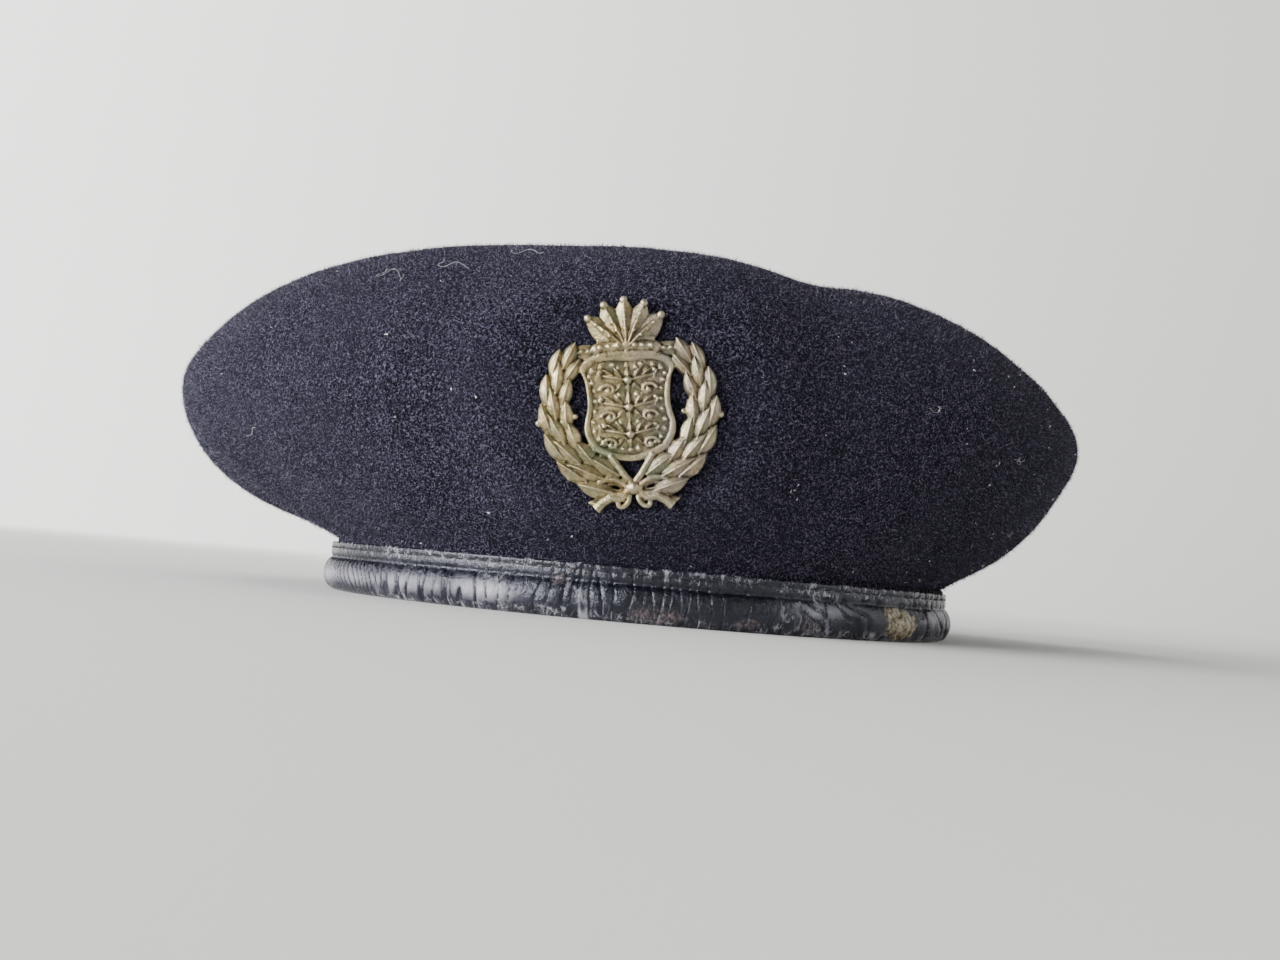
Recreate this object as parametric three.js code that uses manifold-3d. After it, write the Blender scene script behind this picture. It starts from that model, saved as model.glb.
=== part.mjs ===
// A felt beret with a leather-bound rim and a cast metal cap badge, resting on its rim.
// Millimetres, +Z up, with the front of the hat towards -Y. The origin is the middle of the
// hat's footprint, on the surface that it rests on.
import * as THREE from "three";
import { mergeVertices } from "three/addons/utils/BufferGeometryUtils.js";
import Module from "manifold-3d";

const wasm = await Module();
wasm.setup();
const { clamp, degToRad, euclideanModulo, lerp, smoothstep } = THREE.MathUtils;

// Leather binding, sewn over the felt's raw edge, with a padded roll along its foot
const OPENING_WIDTH = 158; // clear inside the binding, side to side
const OPENING_LENGTH = 182; // clear inside the binding, front to back
const BINDING_HEIGHT = 12.5;
const SWEATBAND_HEIGHT = 11; // the leather's inner side, against the head
const ROLL_HEIGHT = 9;
const ROLL_BULGE = 1.6; // how far the roll stands out past the strip above it
const ROLL_INNER_BULGE = 0.6;
const ROLL_PRESS = 0.4; // how much of the roll is flattened where it rests
const LEATHER = 1.2;
const PLAY = 0.3; // clearance between pieces that touch

// Felt crown
const FELT = 2.2;
const CROWN_WIDTH = 248;
const CROWN_LENGTH = 244;
const CROWN_HEIGHT = 90;
const CROWN_SET_BACK = 14; // the crown's middle lies this far behind the opening's
const CROWN_ASIDE = -5; // and this far to the side
const HEM_RISE = 1.2; // the felt stands upright this far past the binding

// Cap badge
const BADGE_WIDTH = 41;
const BADGE_HEIGHT = 47;
const BADGE_RISE = 11.5; // from the top of the binding to the foot of the badge
const BADGE_ASIDE = -1.5; // from the middle of the front
const BADGE_TURN = degToRad(8); // anticlockwise, seen from the front
const BADGE_PLATE = 1;
const SEAT_MARGIN = 3; // the felt lies flat this far past the badge
const SEAT_BLEND = 22; // and runs back into its own curve over this distance
const SEAT_DEPTH = 1.5; // how deep the badge is drawn into the felt
const SEAT_PULL = 5; // the furthest that the felt is moved for it
const POST_RADIUS = 1.5;
const NUT_RADIUS = 6.5;
const NUT_THICKNESS = 2;
const POST_LENGTH = 2 * PLAY + FELT + NUT_THICKNESS + 1.5;

// Mesh fineness
const ROUND_STEPS = 58;
const FRONT_FINENESS = 0.35; // how much closer the steps lie at the front, where the badge sits
const BOSS_STEPS = 32;
const POST_STEPS = 16;

// Height of the widest line of the crown, as shares of CROWN_HEIGHT
const BELLY = { front: 0.6, side: 0.56, rear: 0.38 };

// The felt's flank, from the binding to the widest line: out is a share of the overhang, and
// up a share of the height between the binding and that line.
const FLANK = [
  { name: "hem", out: 0, up: 0, steps: 2 },
  { name: "skirt", out: 0.42, up: 0.24, steps: 3 },
  { name: "swell", out: 0.82, up: 0.6, steps: 3 },
  { name: "belly", out: 1, up: 1, steps: 3 },
];

// The crown above that line, to the middle of its top: span is a share of the crown's width
// and length, and the heights are shares of CROWN_HEIGHT.
const TOP = [
  { name: "bulge", span: 0.955, front: 0.78, side: 0.69, rear: 0.51, steps: 2 },
  { name: "shoulder", span: 0.83, front: 0.94, side: 0.81, rear: 0.64, steps: 3 },
  { name: "table", span: 0.56, front: 0.97, side: 0.88, rear: 0.74, steps: 3 },
  { name: "dish", span: 0.28, front: 0.89, side: 0.85, rear: 0.79, steps: 2 },
  { name: "middle", span: 0, front: 0.82, side: 0.82, rear: 0.82, steps: 0 },
];

// Soft lobes, dents and folds in the felt. Angles and reach are in degrees round the hat, from
// the front towards +X. Heights are shares of CROWN_HEIGHT, and so is depth, outwards.
const FOLDS = [
  { name: "left lobe", angle: -80, reach: 30, height: 0.5, tall: 0.25, depth: 0.04 },
  { name: "left rear lobe", angle: -118, reach: 32, height: 0.34, tall: 0.2, depth: 0.05 },
  { name: "dent between the lobes", angle: -99, reach: 7, height: 0.3, tall: 0.14, depth: -0.018 },
  { name: "right tip", angle: 84, reach: 11, height: 0.66, tall: 0.12, depth: 0.045 },
  { name: "brow dent", angle: 24, reach: 9, height: 0.9, tall: 0.2, depth: -0.025 },
];

// Closed bodies

// A body from rows of points, each row a ring. Its rows are joined in turn, and the last row
// either to the first or, where the body has ends, not at all and both ends are filled in.
function bodyFromRings(rings, hasEnds = false) {
  const size = rings[0].length;
  const index = [];
  rings.forEach((_, r) => {
    if (hasEnds && r === rings.length - 1) return;
    const next = (r + 1) % rings.length;
    for (let i = 0; i < size; i++) {
      const j = (i + 1) % size;
      index.push(r * size + i, r * size + j, next * size + j);
      index.push(r * size + i, next * size + j, next * size + i);
    }
  });
  if (hasEnds) {
    const last = (rings.length - 1) * size;
    for (let i = 1; i < size - 1; i++) {
      index.push(0, i + 1, i, last, last + i, last + i + 1);
    }
  }
  return new THREE.BufferGeometry().setFromPoints(rings.flat()).setIndex(index);
}

function solidOf(geometry) {
  const bare = new THREE.BufferGeometry().setAttribute("position", geometry.getAttribute("position"));
  bare.setIndex(geometry.getIndex());
  const merged = mergeVertices(bare, 1e-4);
  return new wasm.Manifold(
    new wasm.Mesh({
      numProp: 3,
      vertProperties: new Float32Array(merged.getAttribute("position").array),
      triVerts: new Uint32Array(merged.getIndex().array),
    }),
  );
}

function geometryOf(solid) {
  const mesh = solid.getMesh();
  return new THREE.BufferGeometry()
    .setAttribute("position", new THREE.BufferAttribute(mesh.vertProperties, 3))
    .setIndex(new THREE.BufferAttribute(mesh.triVerts, 1));
}

// A round bar along Z
function barGeometry(radius, from, to) {
  const bar = new THREE.CylinderGeometry(radius, radius, to - from, POST_STEPS);
  return bar.rotateX(Math.PI / 2).translate(0, 0, (from + to) / 2);
}

// Leather binding

// From the felt's middle line to the faces of the leather on either side of it
const slotHalf = FELT / 2 + PLAY;
const leatherFace = slotHalf + LEATHER;
const rimHalfWidth = OPENING_WIDTH / 2 + leatherFace + ROLL_INNER_BULGE;
const rimHalfLength = OPENING_LENGTH / 2 + leatherFace + ROLL_INNER_BULGE;
const roundAngles = Array.from({ length: ROUND_STEPS }, (_, i) => {
  const turn = (i / ROUND_STEPS) * 2 * Math.PI;
  return turn - FRONT_FINENESS * Math.sin(turn);
});

// A point beside the rim line, out from it along its own normal
function besideRim(angle, out, up) {
  const normal = new THREE.Vector3(rimHalfLength * Math.sin(angle), -rimHalfWidth * Math.cos(angle), 0);
  const point = new THREE.Vector3(rimHalfWidth * Math.sin(angle), -rimHalfLength * Math.cos(angle), up);
  return point.addScaledVector(normal.normalize(), out);
}

// One side of the roll, from the edge of its flat foot up to where it meets the strip
function rollArc(bulge, steps) {
  const wide = leatherFace + bulge;
  const high = ROLL_HEIGHT / 2 + ROLL_PRESS;
  const foot = -Math.asin(ROLL_HEIGHT / 2 / high);
  const neck = Math.acos(leatherFace / wide);
  return Array.from({ length: steps + 1 }, (_, i) => {
    const turn = lerp(foot, neck, i / steps);
    return new THREE.Vector2(wide * Math.cos(turn), ROLL_HEIGHT / 2 + high * Math.sin(turn));
  });
}

function bindingSection() {
  const slotFloor = ROLL_HEIGHT / 2;
  const edge = LEATHER / 3;
  const inner = rollArc(ROLL_INNER_BULGE, 4).map((p) => new THREE.Vector2(-p.x, p.y));
  return [
    ...rollArc(ROLL_BULGE, 6),
    new THREE.Vector2(leatherFace, BINDING_HEIGHT - edge),
    new THREE.Vector2(leatherFace - edge, BINDING_HEIGHT),
    new THREE.Vector2(slotHalf, BINDING_HEIGHT),
    new THREE.Vector2(slotHalf, slotFloor),
    new THREE.Vector2(-slotHalf, slotFloor),
    new THREE.Vector2(-slotHalf, SWEATBAND_HEIGHT),
    new THREE.Vector2(-leatherFace, SWEATBAND_HEIGHT),
    ...inner.reverse(),
  ];
}

function bindingGeometry() {
  const rings = bindingSection().map((p) => roundAngles.map((angle) => besideRim(angle, p.x, p.y)));
  return bodyFromRings(rings);
}

// Felt crown

const hemHeight = BINDING_HEIGHT + HEM_RISE;
const railCount = FLANK.length + TOP.length;
const railSteps = [...FLANK, ...TOP].map((row) => row.steps);

// A height that runs smoothly from the front over the sides to the rear
function heightAt(row, angle) {
  const forward = Math.cos(angle);
  const lean = (row.front - row.rear) / 2;
  const bow = (row.front + row.rear) / 2 - row.side;
  return CROWN_HEIGHT * (row.side + lean * forward + bow * forward * forward);
}

function crownRail(angle, span, height) {
  return new THREE.Vector3(
    CROWN_ASIDE + ((span * CROWN_WIDTH) / 2) * Math.sin(angle),
    CROWN_SET_BACK - ((span * CROWN_LENGTH) / 2) * Math.cos(angle),
    height,
  );
}

// The line that the felt's outer face follows at one angle, from the hem to the middle
const profiles = new Map();
function profileAt(angle) {
  if (!profiles.has(angle)) {
    const hem = besideRim(angle, FELT / 2, hemHeight);
    const belly = crownRail(angle, 1, heightAt(BELLY, angle));
    const flank = FLANK.map(({ out, up }) => hem.clone().lerp(belly, out).setZ(lerp(hem.z, belly.z, up)));
    const top = TOP.map((row) => crownRail(angle, row.span, heightAt(row, angle)));
    profiles.set(angle, new THREE.CatmullRomCurve3([...flank, ...top], false, "centripetal"));
  }
  return profiles.get(angle);
}

function outwardAt(angle, share) {
  const step = 1e-3;
  const profile = profileAt(angle);
  const along = profile.getPoint(Math.min(1, share + step)).sub(profile.getPoint(Math.max(0, share - step)));
  const round = profileAt(angle + step).getPoint(share).sub(profileAt(angle - step).getPoint(share));
  return round.cross(along).normalize();
}

function foldDepth(angle, height) {
  return FOLDS.reduce((sum, fold) => {
    const turn = euclideanModulo(angle - degToRad(fold.angle) + Math.PI, 2 * Math.PI) - Math.PI;
    const round = turn / degToRad(fold.reach);
    const tall = (height / CROWN_HEIGHT - fold.height) / fold.tall;
    return sum + fold.depth * CROWN_HEIGHT * Math.exp(-round * round - tall * tall);
  }, 0);
}

// The felt's outer face before the badge is drawn into it. Its folds fade out at the hem and
// towards the middle of the top.
function looseFelt(angle, share) {
  const point = profileAt(angle).getPoint(share);
  const fade = smoothstep(share, 0, 0.2) * (1 - smoothstep(share, 0.8, 0.95));
  if (fade === 0) return point;
  return point.addScaledVector(outwardAt(angle, share), fade * foldDepth(angle, point.z));
}

// A point on the front of the loose felt, below the crown's shoulder
function feltAtHeight(angle, height) {
  let low = 0;
  let high = (FLANK.length + 1) / (railCount - 1);
  while (high - low > 1e-6) {
    const share = (low + high) / 2;
    if (looseFelt(angle, share).z < height) low = share;
    else high = share;
  }
  return looseFelt(angle, low);
}

// Where the badge sits: its middle, with X to the right, Y up and Z out of the hat
function badgeSeat() {
  const angle = Math.atan2(BADGE_ASIDE, rimHalfLength);
  const foot = BINDING_HEIGHT + BADGE_RISE;
  const [low, level, high] = [0, 0.5, 1].map((share) => feltAtHeight(angle, foot + share * BADGE_HEIGHT));
  const right = new THREE.Vector3(Math.cos(angle), Math.sin(angle), 0);
  const up = high.sub(low).projectOnPlane(right).normalize();
  const outward = right.clone().cross(up);
  const middle = level.addScaledVector(outward, -SEAT_DEPTH);
  const turn = new THREE.Matrix4().makeRotationZ(BADGE_TURN);
  return new THREE.Matrix4().makeBasis(right, up, outward).multiply(turn).setPosition(middle);
}

const seat = badgeSeat();
const intoSeat = seat.clone().invert();

// The felt's outer face, flat behind the badge
function feltPoint(angle, share) {
  const point = looseFelt(angle, share);
  const free = smoothstep(point.z, hemHeight, BINDING_HEIGHT + BADGE_RISE);
  point.applyMatrix4(intoSeat);
  const halfWidth = BADGE_WIDTH / 2 + SEAT_MARGIN;
  const halfHeight = BADGE_HEIGHT / 2 + SEAT_MARGIN;
  const away = Math.hypot(point.x / halfWidth, point.y / halfHeight);
  const near = point.z > -BADGE_HEIGHT ? 1 - smoothstep(away, 1, 1 + SEAT_BLEND / halfWidth) : 0;
  point.z += near * free * clamp(-point.z, -SEAT_PULL, SEAT_PULL);
  return point.applyMatrix4(seat);
}

function feltRows() {
  const shares = railSteps.flatMap((steps, rail) =>
    Array.from({ length: steps }, (_, k) => (rail + k / steps) / (railCount - 1)),
  );
  const foot = ROLL_HEIGHT / 2 + PLAY;
  return [
    roundAngles.map((angle) => besideRim(angle, FELT / 2, foot)),
    ...shares.map((share) => roundAngles.map((angle) => feltPoint(angle, share))),
  ];
}

// The felt is its outer face and, one thickness inside it, its inner face.
function crownGeometry() {
  const rows = feltRows();
  const outer = [...rows.flat(), feltPoint(0, 1)];
  const pole = outer.length - 1;
  const index = [];
  rows.forEach((_, r) => {
    for (let i = 0; i < ROUND_STEPS; i++) {
      const here = r * ROUND_STEPS + i;
      const beside = r * ROUND_STEPS + ((i + 1) % ROUND_STEPS);
      if (r === rows.length - 1) {
        index.push(here, beside, pole);
      } else {
        index.push(here, beside, beside + ROUND_STEPS, here, beside + ROUND_STEPS, here + ROUND_STEPS);
      }
    }
  });
  const face = new THREE.BufferGeometry().setFromPoints(outer).setIndex(index);
  face.computeVertexNormals();
  const normal = new THREE.Vector3();
  const inner = outer.map((point, i) => {
    normal.fromBufferAttribute(face.getAttribute("normal"), i);
    if (i < ROUND_STEPS) normal.setZ(0).normalize();
    return point.clone().addScaledVector(normal, -FELT);
  });
  const back = outer.length;
  const edge = roundAngles.flatMap((_, i) => {
    const j = (i + 1) % ROUND_STEPS;
    return [i, back + i, back + j, i, back + j, j];
  });
  const innerIndex = index.map((v) => v + back).reverse();
  const felt = new THREE.BufferGeometry().setFromPoints([...outer, ...inner]);
  return felt.setIndex([...index, ...innerIndex, ...edge]);
}

function feltWithPostHole() {
  const hole = barGeometry(POST_RADIUS + PLAY, -3 * FELT, 2 * FELT).applyMatrix4(seat);
  return geometryOf(solidOf(crownGeometry()).subtract(solidOf(hole)));
}

// Cap badge, lying in its own plane: X to the right, Y up and its back at Z = 0

// Sections of a leaf from its stem to its tip, as shares of its length, width and rise
const LEAF = [
  { along: 0, wide: 0.5, high: 0.6 },
  { along: 0.5, wide: 1, high: 1 },
  { along: 1, wide: 0.15, high: 0.2 },
];
const LEAF_LENGTH = 8;
const LEAF_WIDTH = 3.6;
const LEAF_RISE = 1.5; // of its ridge, above the plate
const WREATH = { halfWidth: 16, halfHeight: 16.6, middle: -1, from: degToRad(24), to: degToRad(120) };
const WREATH_STATIONS = 6;
const WREATH_TAPER = 0.78; // size of its last leaves, as a share of its first ones
// Leaves of each station: aside is a share of a leaf's width, and back one of its length
const WREATH_LEAVES = [
  { turn: degToRad(9), aside: -0.52, back: 0.4 },
  { turn: degToRad(-9), aside: 0.52, back: 0.4 },
  { turn: 0, aside: 0, back: 0 },
];
const BOSS = { halfWidth: 10.4, halfHeight: 11.4, middle: -1.5 };
// Outline of the shield-shaped boss from the middle of its top, as shares of its half width and height
const BOSS_OUTLINE = [
  { out: 0, up: 1 },
  { out: 0.66, up: 1 },
  { out: 1, up: 0.8 },
  { out: 0.9, up: 0.5 },
  { out: 0.87, up: 0.05 },
  { out: 0.96, up: -0.4 },
  { out: 0.78, up: -0.76 },
  { out: 0.4, up: -0.93 },
  { out: 0, up: -1 },
];
// The boss's section from its edge to its middle, inset as a share of its outline
const BOSS_SECTION = [
  { inset: 1, up: 0 },
  { inset: 1, up: 1.4 },
  { inset: 0.95, up: 1.9 },
  { inset: 0.89, up: 1.9 },
  { inset: 0.84, up: 1.3 },
  { inset: 0.02, up: 1.6 },
];
const SPRIG = { rows: [0.5, 0, -0.5], length: 6.6, width: 2.8, lift: degToRad(12) };
const PALMETTE_FAN = [-48, -24, 0, 24, 48].map(degToRad);
const PALMETTE = { foot: 10.5, length: 11.5, width: 5.4, barWidth: 12.4, barHeight: 3.4, barRise: 2 };
const LINK_REACH = 14; // of the leaves that tie the palmette to the wreath's tips
const BOW = { middle: -18, rise: 2, tailReach: 8.4, stalkReach: 9 };
const BOW_LOOP = { out: 4.4, wide: 3.9, tall: 2.1, wire: 1.3, lean: degToRad(14) };

// A leaf with a ridge down its middle, from its stem towards +Y
function leafSolid(x, y, turn, length, width) {
  const rings = LEAF.map(({ along, wide, high }) => {
    const half = (wide * width) / 2;
    const ridge = BADGE_PLATE + high * LEAF_RISE;
    const outline = [
      [-half, 0],
      [-half, BADGE_PLATE],
      [0, ridge],
      [half, BADGE_PLATE],
      [half, 0],
    ];
    return outline.map(([side, up]) => new THREE.Vector3(side, along * length, up));
  });
  return solidOf(bodyFromRings(rings, true).rotateZ(turn).translate(x, y, 0));
}

function plateSolid(shape, rise) {
  return solidOf(new THREE.ExtrudeGeometry(shape, { depth: rise, bevelEnabled: false, curveSegments: 10 }));
}

function wreathBand() {
  const { halfWidth, halfHeight, middle, to } = WREATH;
  const half = BADGE_PLATE;
  const [start, end] = [-Math.PI / 2 - to, -Math.PI / 2 + to];
  const band = new THREE.Shape();
  band.absellipse(0, middle, halfWidth + half, halfHeight + half, start, end, false, 0);
  band.absellipse(0, middle, halfWidth - half, halfHeight - half, end, start, true, 0);
  return plateSolid(band, BADGE_PLATE);
}

function wreathSolids() {
  const solids = [wreathBand()];
  for (const side of [-1, 1]) {
    for (let k = 0; k < WREATH_STATIONS; k++) {
      const round = lerp(WREATH.from, WREATH.to, k / (WREATH_STATIONS - 1));
      const x = side * WREATH.halfWidth * Math.sin(round);
      const y = WREATH.middle - WREATH.halfHeight * Math.cos(round);
      const across = -side * WREATH.halfWidth * Math.cos(round);
      const turn = Math.atan2(across, WREATH.halfHeight * Math.sin(round));
      const size = lerp(1, WREATH_TAPER, k / (WREATH_STATIONS - 1));
      for (const leaf of WREATH_LEAVES) {
        const stem = new THREE.Vector3(leaf.aside * LEAF_WIDTH, -leaf.back * LEAF_LENGTH, 0);
        stem.multiplyScalar(size).applyAxisAngle(new THREE.Vector3(0, 0, 1), turn);
        const [length, width] = [size * LEAF_LENGTH, size * LEAF_WIDTH];
        solids.push(leafSolid(x + stem.x, y + stem.y, turn + leaf.turn, length, width));
      }
    }
  }
  return solids;
}

function bossSolids() {
  const { halfWidth, halfHeight, middle } = BOSS;
  const left = BOSS_OUTLINE.map(({ out, up }) => new THREE.Vector3(-out, up, 0));
  const right = BOSS_OUTLINE.slice(1, -1).map(({ out, up }) => new THREE.Vector3(out, up, 0));
  const curve = new THREE.CatmullRomCurve3([...left, ...right.reverse()], true);
  const outline = curve.getPoints(BOSS_STEPS).slice(1);
  const rings = BOSS_SECTION.map(({ inset, up }) =>
    outline.map((p) => new THREE.Vector3(inset * halfWidth * p.x, middle + inset * halfHeight * p.y, up)),
  );
  const solids = [solidOf(bodyFromRings(rings, true))];
  for (const row of SPRIG.rows) {
    for (const side of [-1, 1]) {
      const turn = side * (SPRIG.lift - Math.PI / 2);
      solids.push(leafSolid(0, middle + row * halfHeight, turn, SPRIG.length, SPRIG.width));
    }
  }
  return solids;
}

function palmetteSolids() {
  const { foot, length, width, barWidth, barHeight, barRise } = PALMETTE;
  const bar = new THREE.BoxGeometry(barWidth, barHeight, barRise).translate(0, foot, barRise / 2);
  const leaves = PALMETTE_FAN.map((fan) => leafSolid(0, foot, fan, length, width));
  const links = [-1, 1].map((side) => leafSolid(0, foot, (-side * Math.PI) / 2, LINK_REACH, 3));
  return [solidOf(bar), ...leaves, ...links];
}

function bowSolids() {
  const { middle, rise, tailReach, stalkReach } = BOW;
  const { out, wide, tall, wire, lean } = BOW_LOOP;
  const knot = new THREE.SphereGeometry(rise, 8, 6).translate(0, middle, rise / 2);
  const solids = [solidOf(knot).subtract(solidOf(new THREE.BoxGeometry(9, 9, 9).translate(0, middle, -4.5)))];
  for (const side of [-1, 1]) {
    const loop = new THREE.Shape();
    loop.absellipse(side * out, middle, wide, tall, 0, 2 * Math.PI, false, side * lean);
    const eye = new THREE.Path();
    eye.absellipse(side * out, middle, wide - wire, tall - wire, 0, 2 * Math.PI, false, side * lean);
    loop.holes.push(eye);
    solids.push(plateSolid(loop, rise));
    solids.push(leafSolid(0, middle, side * degToRad(-118), tailReach, 3.4));
    solids.push(leafSolid(0, middle, side * degToRad(-34), stalkReach, 2.6));
  }
  return solids;
}

function badgeGeometry() {
  const solids = [...wreathSolids(), ...bossSolids(), ...palmetteSolids(), ...bowSolids()];
  const relief = geometryOf(solids.reduce((whole, solid) => whole.add(solid)));
  relief.computeBoundingBox();
  const size = relief.boundingBox.getSize(new THREE.Vector3());
  const middle = relief.boundingBox.getCenter(new THREE.Vector3());
  relief.translate(-middle.x, -middle.y, 0).scale(BADGE_WIDTH / size.x, BADGE_HEIGHT / size.y, 1);
  const post = barGeometry(POST_RADIUS, -POST_LENGTH, BADGE_PLATE);
  return geometryOf(solidOf(relief).add(solidOf(post))).translate(0, 0, PLAY).applyMatrix4(seat);
}

// A plain round nut on the badge's post, inside the hat
function nutGeometry() {
  const face = -FELT - PLAY;
  const nut = solidOf(barGeometry(NUT_RADIUS, face - NUT_THICKNESS, face));
  const hole = solidOf(barGeometry(POST_RADIUS + PLAY, face - 2 * NUT_THICKNESS, 0));
  return geometryOf(nut.subtract(hole)).applyMatrix4(seat);
}

// The hat

const hat = new THREE.Group();

function place(name, geometry, color, roughness, metalness) {
  geometry.computeVertexNormals();
  const mesh = new THREE.Mesh(geometry, new THREE.MeshStandardMaterial({ color, roughness, metalness }));
  mesh.name = name;
  hat.add(mesh);
}

place("leather_binding", bindingGeometry(), 0x2c2c33, 0.45, 0);
place("crown", feltWithPostHole(), 0x2b2a38, 0.95, 0);
place("badge", badgeGeometry(), 0x9a917a, 0.38, 0.9);
place("badge_nut", nutGeometry(), 0x8a8474, 0.4, 0.9);

const box = new THREE.Box3().setFromObject(hat);
const middle = box.getCenter(new THREE.Vector3());
hat.position.set(-middle.x, -middle.y, -box.min.z);

const beret = new THREE.Group();
beret.add(hat);

export default beret;
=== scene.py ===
import math

import bpy
import numpy as np
from mathutils import Matrix, Vector, noise


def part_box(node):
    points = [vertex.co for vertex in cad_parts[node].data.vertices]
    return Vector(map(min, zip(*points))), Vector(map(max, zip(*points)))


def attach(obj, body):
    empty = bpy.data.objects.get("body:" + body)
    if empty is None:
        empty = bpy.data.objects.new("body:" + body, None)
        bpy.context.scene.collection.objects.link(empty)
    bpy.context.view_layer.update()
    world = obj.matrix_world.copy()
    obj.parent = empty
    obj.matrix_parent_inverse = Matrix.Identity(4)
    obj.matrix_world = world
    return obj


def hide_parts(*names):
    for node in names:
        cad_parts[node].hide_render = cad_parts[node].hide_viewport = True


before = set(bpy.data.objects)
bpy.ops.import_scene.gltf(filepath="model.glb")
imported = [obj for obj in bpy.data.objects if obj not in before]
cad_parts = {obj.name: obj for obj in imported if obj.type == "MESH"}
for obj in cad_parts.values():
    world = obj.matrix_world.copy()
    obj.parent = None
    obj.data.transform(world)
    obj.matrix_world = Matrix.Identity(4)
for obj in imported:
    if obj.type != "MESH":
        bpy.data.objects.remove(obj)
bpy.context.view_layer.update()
MM = 0.001
random = np.random.default_rng(20)


# The rows of a table, each with the columns that are named first
def table(columns, *rows):
    return [dict(zip(columns.split(), row)) for row in rows]


# Sizes and tables of the part's own model, in millimetres
OPENING_WIDTH = 158
OPENING_LENGTH = 182
BINDING_HEIGHT = 12.5
SWEATBAND_HEIGHT = 11
ROLL_HEIGHT = 9
ROLL_BULGE = 1.6
ROLL_INNER_BULGE = 0.6
ROLL_PRESS = 0.4
LEATHER = 1.2
PLAY = 0.3
FELT = 2.2
CROWN_WIDTH = 248
CROWN_LENGTH = 244
CROWN_HEIGHT = 90
CROWN_SET_BACK = 14
CROWN_ASIDE = -5
HEM_RISE = 1.2
BADGE_WIDTH = 41
BADGE_HEIGHT = 47
BADGE_RISE = 11.5
BADGE_ASIDE = -1.5
BADGE_TURN = math.radians(8)
SEAT_MARGIN = 3
SEAT_BLEND = 22
SEAT_DEPTH = 1.5
SEAT_PULL = 5
POST_RADIUS = 1.5
NUT_THICKNESS = 2

BELLY = {"front": 0.6, "side": 0.56, "rear": 0.38}
FLANK = table(
    "out up",
    (0, 0),
    (0.42, 0.24),
    (0.82, 0.6),
    (1, 1),
)
TOP = table(
    "span front side rear",
    (0.955, 0.78, 0.69, 0.51),
    (0.83, 0.94, 0.81, 0.64),
    (0.56, 0.97, 0.88, 0.74),
    (0.28, 0.89, 0.85, 0.79),
    (0, 0.82, 0.82, 0.82),
)
FOLDS = table(
    "angle reach height tall depth",
    (-80, 30, 0.5, 0.25, 0.04),
    (-118, 32, 0.34, 0.2, 0.05),
    (-99, 7, 0.3, 0.14, -0.018),
    (84, 11, 0.66, 0.12, 0.045),
    (24, 9, 0.9, 0.2, -0.025),
)

SLOT_HALF = FELT / 2 + PLAY
LEATHER_FACE = SLOT_HALF + LEATHER
RIM_HALF_WIDTH = OPENING_WIDTH / 2 + LEATHER_FACE + ROLL_INNER_BULGE
RIM_HALF_LENGTH = OPENING_LENGTH / 2 + LEATHER_FACE + ROLL_INNER_BULGE
HEM_HEIGHT = BINDING_HEIGHT + HEM_RISE

# The opening's middle, on the surface that the hat rests on
binding_low, binding_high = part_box("leather_binding")
OPENING = (binding_low + binding_high) / 2
OPENING.z = 0


# Helpers


def smoothstep(x, low, high):
    t = np.clip((x - low) / (high - low), 0, 1)
    return t * t * (3 - 2 * t)


# A smooth bump of height 1 about a middle
def bell(x, middle, reach):
    return np.exp(-(((x - middle) / reach) ** 2))


def unit(v):
    return v / np.maximum(np.linalg.norm(v, axis=-1, keepdims=True), 1e-9)


# The same angle, from half a turn back to half a turn on
def signed(angle):
    return (angle + math.pi) % (2 * math.pi) - math.pi


# Angles spread evenly over a full turn
def full_turn(steps):
    return [2 * math.pi * s / steps for s in range(steps)]


# Soft noise from -1 to 1 at each point, with cells of a size in millimetres
def noise_at(points, size, seed=0):
    places = np.asarray(points, float).reshape(-1, 3) / size + 17.3 * seed
    values = [noise.noise(p) for p in places.tolist()]
    return np.array(values).reshape(np.asarray(points).shape[:-1])


# An object in the scene, from its mesh, light or camera
def put(name, data):
    obj = bpy.data.objects.new(name, data)
    bpy.context.scene.collection.objects.link(obj)
    return obj


def shade_smooth(mesh):
    mesh.polygons.foreach_set("use_smooth", [True] * len(mesh.polygons))


# A mesh from points in millimetres about the opening's middle
def mesh_piece(name, points, faces, materials, smooth=True, indices=None):
    mesh = bpy.data.meshes.new(name)
    places = np.asarray(points, float) * MM + np.array(OPENING)
    mesh.from_pydata(places.tolist(), [], [list(f) for f in faces])
    for mat in materials:
        mesh.materials.append(mat)
    if smooth:
        shade_smooth(mesh)
    if indices is not None:
        mesh.polygons.foreach_set("material_index", indices)
    mesh.update()
    obj = put(name, mesh)
    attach(obj, "root")
    return obj


def point_attributes(obj, **layers):
    for name, values in layers.items():
        layer = obj.data.attributes.new(name, "FLOAT", "POINT")
        layer.data.foreach_set("value", np.asarray(values, np.float32).ravel())


# Quads between rows of a grid of points, closed round each row
def grid_faces(rows, round_steps, closed=False):
    faces = []
    last = rows if closed else rows - 1
    for r in range(last):
        here = r * round_steps
        above = ((r + 1) % rows) * round_steps
        for i in range(round_steps):
            j = (i + 1) % round_steps
            faces.append((here + i, here + j, above + j, above + i))
    return faces


# The same, with the first and the last row filled
def capped_faces(rows, round_steps):
    first = tuple(reversed(range(round_steps)))
    last = tuple((rows - 1) * round_steps + i for i in range(round_steps))
    return grid_faces(rows, round_steps) + [first, last]


# Crown surface, as in the part's own model


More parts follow.
